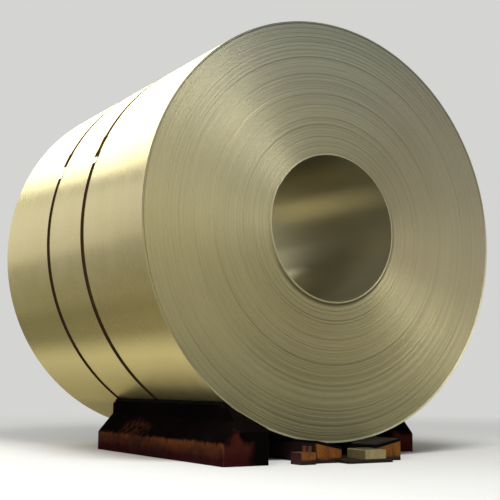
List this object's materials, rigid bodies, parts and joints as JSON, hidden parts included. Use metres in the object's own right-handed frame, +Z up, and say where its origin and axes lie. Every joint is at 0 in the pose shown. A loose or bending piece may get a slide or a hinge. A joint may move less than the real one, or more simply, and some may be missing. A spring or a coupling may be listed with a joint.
{
  "type": "steel coil",
  "caption": "Wound strip steel coil with an open bore and narrow steel straps, lying with its axis level on a low saddle of rubber-faced side beams and a shallow V-shaped centre rest.",
  "frame": {"origin": "on the floor under the middle of the coil, halfway between its ends", "axes": "+Y along the coil's axis, from the end that the picture shows to the far end; +Z up; +X to the right of someone who faces the front end"},
  "size_m": [1.7418, 2, 1.8039],
  "materials": {
    "coil_steel": "bright rolled shell, matt slit-edge ends",
    "strap_steel": "blackened strapping",
    "seal_steel": "zinc-coated, crimped",
    "beam_paint": "worn red-brown paint, grimy",
    "pad_rubber": "worn black sheet rubber",
    "saddle_paint": "worn orange paint",
    "block_wood": "pale bare timber"
  },
  "bodies": {
    "root": {"coil": "coil_steel", "strap_front": "strap_steel", "strap_rear": "strap_steel", "seal_front": "seal_steel", "seal_rear": "seal_steel", "beam_left": "beam_paint", "beam_right": "beam_paint", "pad_left": "pad_rubber", "pad_right": "pad_rubber", "centre_saddle": "saddle_paint", "centre_pad_left": "pad_rubber", "centre_pad_right": "pad_rubber", "stop_bracket": "saddle_paint", "block": "block_wood"}
  },
  "joints": []
}
